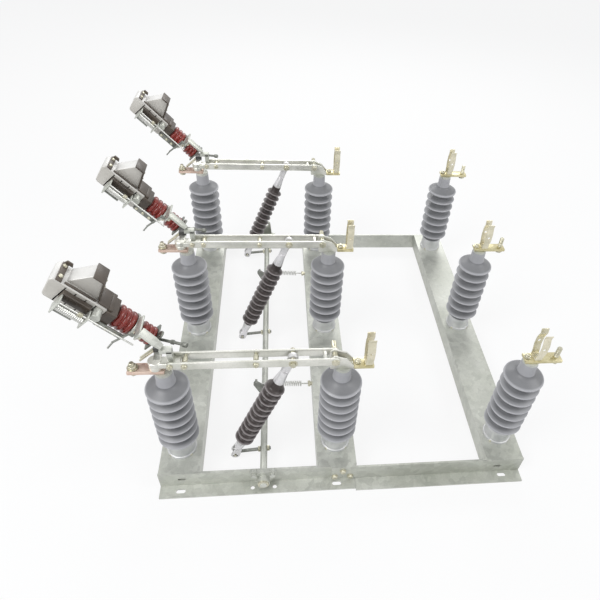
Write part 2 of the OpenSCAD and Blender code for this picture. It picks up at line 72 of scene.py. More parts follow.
# ---------------------------------------------------------------- floor and light
# A plain white floor with three large soft lamps, one of them long and low so that the
# zinc and the brass have something to reflect.
bpy.context.scene.view_settings.view_transform = "Standard"
floor_half = 6.0
bpy.ops.object.select_all(action="DESELECT")
bpy.ops.mesh.primitive_plane_add(size=2 * floor_half, location=(0, 0, -0.0006))
floor = bpy.context.object
floor.name = "floor"
bpy.ops.object.transform_apply(location=True)
floor_paint = bpy.data.materials.new("floor_paint")
floor_paint.use_nodes = True
nodes, links = floor_paint.node_tree.nodes, floor_paint.node_tree.links
nodes.clear()
floor_out = nodes.new("ShaderNodeOutputMaterial")
matt = nodes.new("ShaderNodeBsdfDiffuse")
matt.inputs["Color"].default_value = (0.86, 0.86, 0.86, 1)
glow = nodes.new("ShaderNodeEmission")
glow.inputs["Color"].default_value = (1, 1, 1, 1)
glow.inputs["Strength"].default_value = 1.0
share = nodes.new("ShaderNodeMixShader")
lit = nodes.new("ShaderNodeMath")
lit.operation = "MULTIPLY"
lit.inputs[1].default_value = 0.84


def shown(tree):
    """1 where the background is looked at, straight on or in metal or glass."""
    path = tree.nodes.new("ShaderNodeLightPath")
    mask = path.outputs["Is Camera Ray"]
    for ray in ("Is Glossy Ray", "Is Transmission Ray"):
        either = tree.nodes.new("ShaderNodeMath")
        either.operation = "MAXIMUM"
        tree.links.new(mask, either.inputs[0])
        tree.links.new(path.outputs[ray], either.inputs[1])
        mask = either.outputs[0]
    return mask


links.new(shown(floor_paint.node_tree), lit.inputs[0])
links.new(lit.outputs[0], share.inputs["Fac"])
links.new(matt.outputs[0], share.inputs[1])
links.new(glow.outputs[0], share.inputs[2])
links.new(share.outputs[0], floor_out.inputs["Surface"])
floor.data.materials.append(floor_paint)

world = bpy.data.worlds.new("studio")
bpy.context.scene.world = world
world.use_nodes = True
nodes, links = world.node_tree.nodes, world.node_tree.links
nodes.clear()
world_out = nodes.new("ShaderNodeOutputWorld")
soft = nodes.new("ShaderNodeBackground")
soft.inputs["Color"].default_value = (0.93, 0.96, 1.0, 1)
soft.inputs["Strength"].default_value = 0.52
white = nodes.new("ShaderNodeBackground")
white.inputs["Color"].default_value = (1, 1, 1, 1)
white.inputs["Strength"].default_value = 1.0
pick = nodes.new("ShaderNodeMixShader")
links.new(shown(world.node_tree), pick.inputs["Fac"])
links.new(soft.outputs[0], pick.inputs[1])
links.new(white.outputs[0], pick.inputs[2])
links.new(pick.outputs[0], world_out.inputs["Surface"])

for lamp_name, place, target, size_x, size_y, power in (
    ("key_lamp", (-1.9, -1.5, 2.6), (0, 0, 0.2), 1.6, 1.6, 52),
    ("fill_lamp", (2.4, -1.0, 2.2), (0, 0, 0.2), 1.8, 1.2, 26),
    ("back_strip", (0.3, 2.6, 1.9), (0, 0, 0.2), 2.6, 0.7, 30),
):
    bpy.ops.object.light_add(type="AREA", location=place)
    lamp = bpy.context.object
    lamp.name = lamp_name
    lamp.data.shape = "RECTANGLE"
    lamp.data.size, lamp.data.size_y = size_x, size_y
    lamp.data.energy = power
    lamp.rotation_euler = (Vector(target) - Vector(place)).to_track_quat("-Z", "Y").to_euler()

# ---------------------------------------------------------------- rails and beams
# Four angle rails and three folded channel beams, hot-dip galvanised after cutting: zinc
# crystals of a few centimetres, duller runs where the zinc drained, and a greenish cast.
mm = 0.001
x_left, x_mid, x_right = [(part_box(n)[0].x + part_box(n)[1].x) / 2
                          for n in ("beam_left", "beam_middle", "beam_right")]
rows = [(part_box("pull_rod_%d" % i)[0].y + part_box("pull_rod_%d" % i)[1].y) / 2 for i in (1, 2, 3)]
beam_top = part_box("beam_left")[1].z
head_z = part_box("insulators_left")[1].z


def node_group(name, inputs, outputs):
    """An empty shader group with its sockets: (type, name, starting value) each."""
    group = bpy.data.node_groups.new(name, "ShaderNodeTree")
    for kind, label, value in inputs:
        socket = group.interface.new_socket(label, in_out="INPUT", socket_type="NodeSocket" + kind)
        socket.default_value = value
    for kind, label in outputs:
        group.interface.new_socket(label, in_out="OUTPUT", socket_type="NodeSocket" + kind)
    return group, group.nodes.new("NodeGroupInput"), group.nodes.new("NodeGroupOutput")


def add(tree, kind, **settings):
    """A node in tree; a setting named like a socket fills it, any other is an attribute."""
    node = tree.nodes.new("ShaderNode" + kind)
    for key, value in settings.items():
        if hasattr(node, key):
            setattr(node, key, value)
        else:
            node.inputs[key.replace("_", " ")].default_value = value
    return node


def ramp(tree, stops):
    """A colour ramp with (position, grey or colour) stops."""
    node = tree.nodes.new("ShaderNodeValToRGB")
    while len(node.color_ramp.elements) < len(stops):
        node.color_ramp.elements.new(0.5)
    for element, (place, value) in zip(node.color_ramp.elements, stops):
        element.position = place
        colour = (value, value, value) if isinstance(value, (int, float)) else value
        element.color = (*colour, 1)
    return node


# Zinc crystals: flat cells of slightly different tone, smeared by fine streaks.
spangle, g_in, g_out = node_group(
    "zinc_spangle",
    [("Float", "Crystal Scale", 60.0), ("Float", "Smear", 0.35), ("Float", "Run Scale", 5.0)],
    [("Float", "Crystals"), ("Float", "Runs"), ("Float", "Height")])
place = add(spangle, "TexCoord")
warp = add(spangle, "TexNoise", Scale=24.0, Detail=3.0)
spangle.links.new(place.outputs["Object"], warp.inputs["Vector"])
shift = add(spangle, "VectorMath", operation="SCALE")
shift.inputs["Scale"].default_value = 0.012
spangle.links.new(warp.outputs["Color"], shift.inputs[0])
moved = add(spangle, "VectorMath", operation="ADD")
spangle.links.new(place.outputs["Object"], moved.inputs[0])
spangle.links.new(shift.outputs[0], moved.inputs[1])
cells = add(spangle, "TexVoronoi", feature="F1")
spangle.links.new(moved.outputs[0], cells.inputs["Vector"])
spangle.links.new(g_in.outputs["Crystal Scale"], cells.inputs["Scale"])
tone = add(spangle, "SeparateColor")
spangle.links.new(cells.outputs["Color"], tone.inputs[0])
fine = add(spangle, "TexNoise", Scale=260.0, Detail=4.0)
spangle.links.new(place.outputs["Object"], fine.inputs["Vector"])
blur = add(spangle, "Mix", data_type="FLOAT")
spangle.links.new(g_in.outputs["Smear"], blur.inputs[0])
spangle.links.new(tone.outputs[0], blur.inputs[2])
spangle.links.new(fine.outputs["Fac"], blur.inputs[3])
spangle.links.new(blur.outputs[0], g_out.inputs["Crystals"])
runs = add(spangle, "TexNoise", Detail=5.0, Roughness=0.6)
spangle.links.new(place.outputs["Object"], runs.inputs["Vector"])
spangle.links.new(g_in.outputs["Run Scale"], runs.inputs["Scale"])
run_edge = ramp(spangle, [(0.38, 0.0), (0.66, 1.0)])
spangle.links.new(runs.outputs["Fac"], run_edge.inputs[0])
spangle.links.new(run_edge.outputs["Color"], g_out.inputs["Runs"])
bumpy = add(spangle, "Math", operation="ADD")
spangle.links.new(fine.outputs["Fac"], bumpy.inputs[0])
spangle.links.new(runs.outputs["Fac"], bumpy.inputs[1])
spangle.links.new(bumpy.outputs[0], g_out.inputs["Height"])


def zinc(name, dark, light, rough, crystal_scale, run_scale, smear, metal=0.85, bump=0.12):
    """Galvanised or plated steel: tone from the crystals, roughness from crystals and runs."""
    material = bpy.data.materials.new(name)
    material.use_nodes = True
    tree = material.node_tree
    surface = tree.nodes["Principled BSDF"]
    surface.inputs["Metallic"].default_value = metal
    pattern = tree.nodes.new("ShaderNodeGroup")
    pattern.node_tree = spangle
    pattern.inputs["Crystal Scale"].default_value = crystal_scale
    pattern.inputs["Run Scale"].default_value = run_scale
    pattern.inputs["Smear"].default_value = smear
    colours = ramp(tree, [(0.2, dark), (0.8, light)])
    tree.links.new(pattern.outputs["Crystals"], colours.inputs[0])
    dull = add(tree, "Mix", data_type="RGBA", blend_type="MULTIPLY")
    dull.inputs["B"].default_value = (0.78, 0.79, 0.76, 1)
    tree.links.new(pattern.outputs["Runs"], dull.inputs["Factor"])
    tree.links.new(colours.outputs["Color"], dull.inputs["A"])
    tree.links.new(dull.outputs["Result"], surface.inputs["Base Color"])
    spread = add(tree, "MapRange")
    spread.inputs["To Min"].default_value = rough[0]
    spread.inputs["To Max"].default_value = rough[1]
    tree.links.new(pattern.outputs["Crystals"], spread.inputs["Value"])
    tree.links.new(spread.outputs[0], surface.inputs["Roughness"])
    relief = add(tree, "Bump", Strength=bump, Distance=0.0006)
    tree.links.new(pattern.outputs["Height"], relief.inputs["Height"])
    tree.links.new(relief.outputs[0], surface.inputs["Normal"])
    return material


galvanised = zinc("galvanised_steel", (0.50, 0.51, 0.47), (0.66, 0.67, 0.62), (0.36, 0.56), 70, 5, 0.6,
                  metal=0.6, bump=0.08)
weathered = zinc("weathered_zinc", (0.20, 0.205, 0.19), (0.36, 0.37, 0.34), (0.38, 0.6), 90, 9, 0.6, 0.7)


def coat(material, *names):
    """A CAD node keeps its shape and takes this finish."""
    for name in names:
        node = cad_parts[name]
        node.data.materials.clear()
        node.data.materials.append(material)


coat(galvanised, "front_rail_switch", "front_rail_fuse", "rear_rail_switch", "rear_rail_fuse",
     "beam_left", "beam_middle", "beam_right", "head_plates", "operating_lever",
     "front_bearing", "rear_bearing")
coat(weathered, "spring_levers")


# ---------------------------------------------------------------- splice bolts
# Three M8 hexagon bolts on each side hold the fuse rails to the switch rails. They are
# zinc plated and passivated yellow, with a chamfered head on a flat washer.
fastener = zinc("passivated_zinc", (0.50, 0.47, 0.36), (0.74, 0.72, 0.60), (0.25, 0.42), 240, 30, 0.7)


def nothing_selected():
    if bpy.context.mode != "OBJECT":
        bpy.ops.object.mode_set(mode="OBJECT")
    bpy.ops.object.select_all(action="DESELECT")


def hold(piece):
    """Makes piece the only selected object, and the active one."""
    nothing_selected()
    piece.select_set(True)
    bpy.context.view_layer.objects.active = piece


def turned(rings, sides=32, material=None):
    """A turned body grown ring by ring along Z; rings are (radius, height) in mm."""
    nothing_selected()
    first = rings[0]
    bpy.ops.mesh.primitive_circle_add(vertices=sides, radius=first[0] * mm, fill_type="NGON",
                                      location=(0, 0, first[1] * mm))
    piece = bpy.context.object
    bpy.ops.object.transform_apply(location=True)
    bpy.ops.object.mode_set(mode="EDIT")
    bpy.ops.mesh.select_all(action="SELECT")
    for (r_a, z_a), (r_b, z_b) in zip(rings, rings[1:]):
        bpy.ops.mesh.extrude_region_move(TRANSFORM_OT_translate={"value": (0, 0, (z_b - z_a) * mm)})
        if r_a != r_b:
            bpy.ops.transform.resize(value=(r_b / r_a, r_b / r_a, 1), center_override=(0, 0, z_b * mm))
    bpy.ops.mesh.select_all(action="SELECT")
    bpy.ops.mesh.normals_make_consistent(inside=False)
    bpy.ops.object.mode_set(mode="OBJECT")
    if material:
        piece.data.materials.append(material)
    return piece


def apply_modifier(piece, kind, **settings):
    """Adds one modifier to piece and applies it."""
    hold(piece)
    modifier = piece.modifiers.new(kind.lower(), kind)
    for key, value in settings.items():
        setattr(modifier, key, value)
    bpy.ops.object.modifier_apply(modifier=modifier.name)
    return piece


def pin(radius, low, high, material, sides=20, inward=0.4, along=0.4):
    """A round pin, rod or disc along Z, from low to high in mm, with chamfered ends."""
    return turned([(radius - inward, low), (radius, low + along), (radius, high - along),
                   (radius - inward, high)], sides, material)


def break_edges(piece, width, segments=2):
    """Rounds the sharp edges by width in mm."""
    return apply_modifier(piece, "BEVEL", width=width * mm, segments=segments,
                          limit_method="ANGLE", angle_limit=math.radians(30))


def moved_to(piece, place):
    """Puts the place, a matrix, into the mesh."""
    piece.data.transform(place)
    return piece


def copy_of(piece, place=None):
    """A copy with its own mesh, put at place."""
    twin = piece.copy()
    twin.data = piece.data.copy()
    bpy.context.scene.collection.objects.link(twin)
    return moved_to(twin, place) if place else twin


def one_piece(name, parts):
    """Joins parts into one named object."""
    hold(parts[0])
    for part in parts:
        part.select_set(True)
    if len(parts) > 1:
        bpy.ops.object.join()
    piece = bpy.context.object
    piece.name = piece.data.name = name
    return piece


def fit(piece, body, slot, *nodes, angle=35):
    """Smooths piece, and lets it ride its body in place of the CAD nodes."""
    hold(piece)
    bpy.ops.object.shade_smooth_by_angle(angle=math.radians(angle))
    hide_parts(*nodes)
    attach(piece, body)
    return piece


def at(x, y, z, toward="Z"):
    """A place in mm, with the part's own Z turned toward an axis such as X or -Y."""
    turns = {"Z": Matrix.Identity(4), "-Z": Matrix.Rotation(math.pi, 4, "X"),
             "X": Matrix.Rotation(math.pi / 2, 4, "Y"), "-X": Matrix.Rotation(-math.pi / 2, 4, "Y"),
             "Y": Matrix.Rotation(-math.pi / 2, 4, "X"), "-Y": Matrix.Rotation(math.pi / 2, 4, "X")}
    return Matrix.Translation((x * mm, y * mm, z * mm)) @ turns[toward]


def hexagon(across, height, material, washer=0.0, shank=0.0, shank_height=0.0):
    """A chamfered hexagon head or nut, with a washer under it and a thread end over it."""
    corner = across / 2 / math.cos(math.pi / 6)
    head = turned([(corner * 0.99, 0), (corner, height * 0.06), (corner, height * 0.86),
                   (across / 2 * 0.97, height)], 6, material)
    parts = [break_edges(head, across * 0.03, 1)]
    if washer:
        parts.append(turned([(washer / 2 - 0.3, -0.02), (washer / 2, 0.3), (washer / 2, 1.0),
                             (washer / 2 - 0.3, 1.3), (across * 0.3, 1.4)], 24, material))
    if shank:
        rings = [(shank / 2, height * 0.5)]
        turns = max(2, int((shank_height - height) / 1.5))
        for i in range(turns):
            z = height + (shank_height - height) * i / turns
            rings += [(shank / 2 * 0.9, z + 0.1), (shank / 2, z + 0.8)]
        rings.append((shank / 2 * 0.8, shank_height))
        parts.append(turned(rings, 16, material))
    return one_piece("hexagon", parts)


splice_low, splice_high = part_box("splice_bolts")
splice_x = [(splice_low.x / mm + 9) + d for d in (0, 20, 40)]
bolt = hexagon(13, 6.6, fastener, washer=17)
parts = []
for side, toward in ((splice_low.y / mm + 7, "-Y"), (splice_high.y / mm - 7, "Y")):
    for x, z in zip(splice_x, (20, 44, 20)):
        parts.append(copy_of(bolt, at(x, side, z, toward)))
bpy.data.objects.remove(bolt)
fit(one_piece("splice_bolt_heads", parts), "root", "zinc_fastener", "splice_bolts")

# ---------------------------------------------------------------- insulator feet
# Each post insulator stands on a die-cast aluminium foot with a flange and four bolts
# through the beam; the casting is dull and slightly pitted.
mottle, g_in, g_out = node_group(
    "mottled_skin",
    [("Float", "Patch Scale", 12.0), ("Float", "Grain Scale", 400.0), ("Float", "Dust And Top Light Amount", 0.25),
     ("Color", "Dark", (0.3, 0.3, 0.3, 1)), ("Color", "Light", (0.4, 0.4, 0.4, 1)),
     ("Color", "Dust And Top Light", (0.6, 0.6, 0.58, 1))],
    [("Color", "Color"), ("Float", "Patches"), ("Float", "Height")])
place = add(mottle, "TexCoord")
patch = add(mottle, "TexNoise", Detail=6.0, Roughness=0.62)
grain = add(mottle, "TexNoise", Detail=2.0)
mottle.links.new(place.outputs["Object"], patch.inputs["Vector"])
mottle.links.new(place.outputs["Object"], grain.inputs["Vector"])
mottle.links.new(g_in.outputs["Patch Scale"], patch.inputs["Scale"])
mottle.links.new(g_in.outputs["Grain Scale"], grain.inputs["Scale"])
spread = ramp(mottle, [(0.32, 0.0), (0.68, 1.0)])
mottle.links.new(patch.outputs["Fac"], spread.inputs[0])
two_tone = add(mottle, "Mix", data_type="RGBA")
mottle.links.new(spread.outputs["Color"], two_tone.inputs["Factor"])
mottle.links.new(g_in.outputs["Dark"], two_tone.inputs["A"])
mottle.links.new(g_in.outputs["Light"], two_tone.inputs["B"])
facing = add(mottle, "NewGeometry")
up_part = add(mottle, "SeparateXYZ")
mottle.links.new(facing.outputs["Normal"], up_part.inputs[0])
# Upward faces take the dust colour: dust on most skins, and painted light on the tops where the colour is
# near white.
upward_share = add(mottle, "MapRange")
upward_share.inputs["From Min"].default_value = 0.2
mottle.links.new(up_part.outputs["Z"], upward_share.inputs["Value"])
patchy = add(mottle, "Math", operation="MULTIPLY")
mottle.links.new(upward_share.outputs[0], patchy.inputs[0])
mottle.links.new(patch.outputs["Fac"], patchy.inputs[1])
dust_and_top_light_share = add(mottle, "Math", operation="MULTIPLY")
mottle.links.new(patchy.outputs[0], dust_and_top_light_share.inputs[0])
mottle.links.new(g_in.outputs["Dust And Top Light Amount"], dust_and_top_light_share.inputs[1])
covered = add(mottle, "Mix", data_type="RGBA")
mottle.links.new(dust_and_top_light_share.outputs[0], covered.inputs["Factor"])
mottle.links.new(two_tone.outputs["Result"], covered.inputs["A"])
mottle.links.new(g_in.outputs["Dust And Top Light"], covered.inputs["B"])
mottle.links.new(covered.outputs["Result"], g_out.inputs["Color"])
mottle.links.new(spread.outputs["Color"], g_out.inputs["Patches"])
mottle.links.new(grain.outputs["Fac"], g_out.inputs["Height"])


def skin(name, dark, light, rough, metal=0.0, patch_scale=12.0, grain_scale=500.0, bump=0.1,
         dust_and_top_light=(0.62, 0.61, 0.58), dust_and_top_light_amount=0.25, rim_highlight=None, coat_weight=0.0, specular=0.5):
    """Cast, moulded or bare metal skin; the dust colour goes on upward faces as dust and painted top light,
    and the rim colour paints a highlight on the edge marked by the rim attribute.
    """
    material = bpy.data.materials.new(name)
    material.use_nodes = True
    tree = material.node_tree
    surface = tree.nodes["Principled BSDF"]
    surface.inputs["Metallic"].default_value = metal
    surface.inputs["Coat Weight"].default_value = coat_weight
    surface.inputs["Specular IOR Level"].default_value = specular
    pattern = tree.nodes.new("ShaderNodeGroup")
    pattern.node_tree = mottle
    for label, value in (("Patch Scale", patch_scale), ("Grain Scale", grain_scale),
                         ("Dark", (*dark, 1)), ("Light", (*light, 1)), ("Dust And Top Light", (*dust_and_top_light, 1)),
                         ("Dust And Top Light Amount", dust_and_top_light_amount)):
        pattern.inputs[label].default_value = value
    colour = pattern.outputs["Color"]
    if rim_highlight:
        edge = add(tree, "Attribute", attribute_name="rim_highlight")
        lighter = add(tree, "Mix", data_type="RGBA")
        lighter.inputs["B"].default_value = (*rim_highlight, 1)
        tree.links.new(edge.outputs["Fac"], lighter.inputs["Factor"])
        tree.links.new(colour, lighter.inputs["A"])
        colour = lighter.outputs["Result"]
    tree.links.new(colour, surface.inputs["Base Color"])
    spread = add(tree, "MapRange")
    spread.inputs["To Min"].default_value = rough[0]
    spread.inputs["To Max"].default_value = rough[1]
    tree.links.new(pattern.outputs["Patches"], spread.inputs["Value"])
    tree.links.new(spread.outputs[0], surface.inputs["Roughness"])
    relief = add(tree, "Bump", Strength=bump, Distance=0.0004)
    tree.links.new(pattern.outputs["Height"], relief.inputs["Height"])
    tree.links.new(relief.outputs[0], surface.inputs["Normal"])
    return material


cast_foot = skin("cast_aluminium", (0.50, 0.51, 0.52), (0.68, 0.68, 0.68), (0.38, 0.55), 0.5, 30, 900, 0.25)
columns = (("left", x_left), ("middle", x_mid), ("right", x_right))
foot_height = 42
for column, x in columns:
    parts = []
    for y in rows:
        foot = turned([(36.9, 0), (37, 4), (36.4, 6), (34.5, 7), (33.2, 32), (33.9, 34), (33.8, 39),
                       (33, foot_height)], 40, cast_foot)
        parts.append(moved_to(foot, Matrix.Translation((x, y, beam_top))))
        for quarter in range(4):
            around = Matrix.Rotation(math.radians(45 + 90 * quarter), 4, "Z")
            nut = hexagon(11, 5.5, fastener, shank=6, shank_height=6)
            parts.append(moved_to(nut, Matrix.Translation((x, y, beam_top)) @ around @ at(31.5, 0, 0.2)))
    fit(one_piece("insulator_foot_" + column, parts), "root", "cast_foot", "insulator_feet_" + column)

# ---------------------------------------------------------------- post insulators
# Nine cast-resin post insulators, each with six even sheds under a domed top shed and a
# narrow head. The resin is satin grey; the shed rims carry a painted highlight and the head is painted
# lighter.
resin = skin("grey_cast_resin", (0.150, 0.152, 0.160), (0.190, 0.192, 0.200), (0.32, 0.48), 0.0, 9, 700, 0.12,
             dust_and_top_light=(0.42, 0.42, 0.43), dust_and_top_light_amount=0.35, rim_highlight=(0.46, 0.46, 0.48))


def mark_rim_highlights(piece, inner, outer):
    """Stores how near each vertex is to the outer rim, from the part's own axis; this share takes the painted
    rim highlight.
    """
    rim_highlight = piece.data.attributes.new("rim_highlight", "FLOAT", "POINT")
    rim_highlight.data.foreach_set("value", [
        max(0.0, min(1.0, (math.hypot(v.co.x, v.co.y) / mm - inner) / (outer - inner)))
        for v in piece.data.vertices])


shed_count, core, shed = 7, 29.0, 49.0
top_shed, first_shed, post_height = 248.0, 66.0, 300.0
neck_start = top_shed + 19
head_lightening = 0.75
pitch_up = (top_shed - first_shed) / (shed_count - 1)
rings = [(core + 1, foot_height)]
for i in range(shed_count - 1):
    z = first_shed + i * pitch_up
    rings += [(core, z - 9), (core + 0.6, z - 5.2), (core + 3, z - 4.2), (shed - 4, z - 3.9),
              (shed - 1.4, z - 3.8), (shed - 0.9, z - 3.4), (shed - 1.2, z - 2.5), (shed - 1.2, z - 1.9),
              (shed - 0.1, z - 1.6), (shed, z - 0.6), (shed - 0.5, z + 0.5), (shed - 2, z + 1.6),
              (shed - 10, z + 4.6), (core + 4, z + 7), (core + 1, z + 9), (core, z + 12)]
rings += [(core, top_shed - 9), (core + 3, top_shed - 4), (shed - 3, top_shed - 3.8),
          (shed - 0.8, top_shed - 3.3), (shed, top_shed - 1), (shed - 0.4, top_shed + 1.5),
          (shed - 5, top_shed + 4.6), (shed - 13, top_shed + 8.6), (28, top_shed + 12.6),
          (23.4, top_shed + 16.4), (22, neck_start), (21.4, neck_start + 2), (20.2, neck_start + 8),
          (20, post_height - 12), (19.6, post_height - 2), (19, post_height)]
post = turned(rings, 48, resin)
mark_rim_highlights(post, shed - 3.4, shed - 0.6)
# The head above the neck is painted lighter with 0.75 of the rim highlight colour.
for vertex, mark in zip(post.data.vertices, post.data.attributes["rim_highlight"].data):
    if vertex.co.z > (neck_start + 1) * mm:
        mark.value = head_lightening
for column, x in columns:
    parts = [copy_of(post, Matrix.Translation((x, y, beam_top))) for y in rows]
    fit(one_piece("post_insulator_" + column, parts), "root", "insulator_grey", "insulators_" + column)
bpy.data.objects.remove(post)

# ---------------------------------------------------------------- line terminals
# On each left insulator lies a bare copper bar, 28 by 8, with a clamp bolt near its outer
# end; the copper has gone pink-brown with handling.
copper = skin("bare_copper", (0.62, 0.45, 0.37), (0.78, 0.62, 0.53), (0.3, 0.48), 0.7, 40, 600, 0.06,
              dust_and_top_light=(0.7, 0.62, 0.56), dust_and_top_light_amount=0.3)
row_places = [Matrix.Translation((0, y, 0)) for y in rows]
xl, xm, xr, hz = x_left / mm, x_mid / mm, x_right / mm, head_z / mm


def block(low, high, material, edge=0.8, segments=2):
    """A bar or block between two corners in mm, with its edges broken."""
    nothing_selected()
    middle = [(a + b) / 2 * mm for a, b in zip(low, high)]
    bpy.ops.mesh.primitive_cube_add(size=1, location=middle)
    piece = bpy.context.object
    piece.scale = [(b - a) * mm for a, b in zip(low, high)]
    bpy.ops.object.transform_apply(location=True, scale=True)
    piece.data.materials.append(material)
    return break_edges(piece, edge, segments)


def in_each_row(name, parts, places=row_places):
    """Joins the parts of one phase, and repeats them in every row as one object."""
    single = one_piece(name, parts)
    others = [copy_of(single, place) for place in places[1:]]
    moved_to(single, places[0])
    return one_piece(name, [single] + others)


bar_z, bar_top = hz + 8, hz + 16
half_bar, clamp_x = 14, xl - 62
terminal = [block((xl - 73, -half_bar, bar_z), (xl + 5, half_bar, bar_top), copper, 1.2),
            moved_to(hexagon(17, 8, fastener, washer=24, shank=10, shank_height=16),
                     at(clamp_x, 0, bar_top + 1.4)),
            moved_to(hexagon(17, 8.5, fastener, washer=22), at(clamp_x, 0, bar_z - 1.4, "-Z"))]
fit(in_each_row("copper_terminal", terminal), "root", "copper_terminal", "line_terminals")

# ---------------------------------------------------------------- fixed contacts
# A tin-plated post and tongue stand on each copper bar; the closed blade straddles the
# tongue, which is rubbed bright where the bars slide.
tinned = zinc("tinned_copper", (0.70, 0.70, 0.65), (0.82, 0.81, 0.76), (0.26, 0.4), 45, 14, 0.88, 0.75, 0.03)
blade_z = hz + 36
tongue = 12.2
post_rings = [(13.5, 0), (15, 1.2), (15, 9), (14.2, 10), (14.2, 12), (15, 13), (15, 22.8), (13.6, 24)]
contact = [moved_to(turned(post_rings, 32, tinned), at(xl - 13, 0, bar_top))]
contact.append(block((xl - 13, -tongue, blade_z - 12), (xl + 41, tongue, blade_z + 2), tinned, 2.2, 3))
contact.append(block((xl - 17, 0, bar_top + 16), (xl - 1, 23, bar_top + 24), tinned, 1.0))
fit(in_each_row("fixed_contact", contact), "root", "tinned_contact", "fixed_contacts")

# ---------------------------------------------------------------- blades
# Each blade is a pair of flat tinned bars, bolted together over spacers, that turns on a
# long pivot bolt at the middle insulator and carries the pull rod's pin.
bar_t, bar_h, half_gap = 5.0, 21.0, 12.5
hinge_x = xm - 19.6
pivot_x = hinge_x - 93
blade_end = xl + 14


def cut_out(outline, low, high, material, across="Y", edge=0.6, segments=2):
    """A plate cut to an outline in mm, from low to high across it, with its edges broken."""
    nothing_selected()
    bpy.ops.mesh.primitive_circle_add(vertices=len(outline), radius=1, fill_type="NGON")
    piece = bpy.context.object
    order = {"X": lambda a, b: (low, a, b),
             "Y": lambda a, b: (a, low, b),
             "Z": lambda a, b: (a, b, low)}[across]
    for vertex, (a, b) in zip(piece.data.vertices, outline):
        vertex.co = Vector(order(a, b)) * mm
    thick = Vector(order(0, 0)) * 0
    thick["XYZ".index(across)] = (high - low) * mm
    bpy.ops.object.mode_set(mode="EDIT")
    bpy.ops.mesh.select_all(action="SELECT")
    bpy.ops.mesh.extrude_region_move(TRANSFORM_OT_translate={"value": thick})
    bpy.ops.mesh.select_all(action="SELECT")
    bpy.ops.mesh.normals_make_consistent(inside=False)
    bpy.ops.object.mode_set(mode="OBJECT")
    piece.data.materials.append(material)
    return break_edges(piece, edge, segments)


def arc(x, z, radius, start, end, steps):
    """Points on an arc, from start to end in degrees."""
    angles = [math.radians(start + (end - start) * i / steps) for i in range(steps + 1)]
    return [(x + radius * math.cos(a), z + radius * math.sin(a)) for a in angles]


nose = 4
spacer_rings = [(3.8, -13), (4, -12.6), (4, -8), (6, -7.4), (6, 7.4), (4, 8), (4, 12.6), (3.8, 13)]
for number, row in enumerate(row_places, 1):
    outline = [(blade_end, blade_z + bar_h / 2 - nose), (blade_end, blade_z - bar_h / 2 + nose),
               (blade_end + nose, blade_z - bar_h / 2)]
    outline += arc(hinge_x, blade_z, bar_h / 2, -90, 90, 12) + [(blade_end + nose, blade_z + bar_h / 2)]
    parts = []
    for side in (-1, 1):
        inner, outer = side * half_gap, side * (half_gap + bar_t)
        parts.append(cut_out(outline, min(inner, outer), max(inner, outer), tinned, "Y", 1.1, 3))
        toward = "Y" if side > 0 else "-Y"
        for x in (blade_end + 6, blade_end + 36, pivot_x - 80):
            parts.append(moved_to(hexagon(12, 4.6, fastener, washer=13.5, shank=5, shank_height=5),
                                  at(x, outer, blade_z, toward)))
    for x in (blade_end + 36, pivot_x - 80):
        parts.append(moved_to(turned(spacer_rings, 20, fastener), at(x, 0, blade_z, "Y")))
    rod_pin = pin(6, -25.4, 25.4, fastener, 24, inward=1, along=0.8)
    parts.append(moved_to(rod_pin, at(pivot_x, 0, blade_z, "Y")))
    for side, toward in ((half_gap + bar_t, "Y"), (-half_gap - bar_t, "-Y")):
        parts.append(moved_to(pin(9.8, 0, 2, fastener, 24), at(pivot_x, side, blade_z, toward)))
        parts.append(moved_to(pin(1.3, -8.5, 8.5, fastener, 10, inward=0.2, along=0.5),
                              at(pivot_x, side + math.copysign(4.6, side), blade_z)))
    rings = [(5, -20.8), (6, -20)]
    for i in range(16):
        rings += [(6, 19.5 + i * 1.6), (5.5, 20.2 + i * 1.6)]
    rings += [(5, 44.9)]
    parts.append(moved_to(turned(rings, 24, fastener), at(hinge_x, 0, blade_z, "Y")))
    parts.append(moved_to(hexagon(17, 5, fastener), at(hinge_x, half_gap + bar_t + 0.2, blade_z, "Y")))
    parts.append(moved_to(hexagon(17, 2.4, fastener), at(hinge_x, -half_gap - bar_t - 0.2, blade_z, "-Y")))
    parts.append(block((hinge_x - 25, -half_gap - 0.4, blade_z - 8),
                       (hinge_x - 19, half_gap + 0.4, blade_z + 8), tinned, 1))
    blade = one_piece("contact_blade_%d" % number, parts)
    fit(moved_to(blade, row), "blade_%d" % number, "tinned_contact", "blade_%d" % number)

# ---------------------------------------------------------------- hinge brackets
# A folded U of tinned steel between the blade's bars, its cheeks sloping down to the fuse
# bar, held by one bolt through its base.
bracket = []
bracket_end = hinge_x + 42.6
for side in (-1, 1):
    cheek = [(hinge_x - 10, bar_z), (bracket_end, bar_z), (bracket_end, bar_z + 10),
             (hinge_x + 26, blade_z + 3)]
    cheek += arc(hinge_x, blade_z, 12, 50, 185, 10)
    a, b = sorted((side * (tongue - 4), side * tongue))
    bracket.append(cut_out(cheek, a, b, tinned, "Y", 0.7))
bracket.append(block((hinge_x - 10, -tongue + 3.5, bar_z), (bracket_end, tongue - 3.5, bar_z + 5),
                     tinned, 0.6))
bracket.append(moved_to(hexagon(13, 8, fastener, washer=15, shank=8, shank_height=11),
                        at(hinge_x + 22, 0, bar_z + 6.4)))
fit(in_each_row("hinge_bracket", bracket), "root", "tinned_contact", "hinge_blocks")

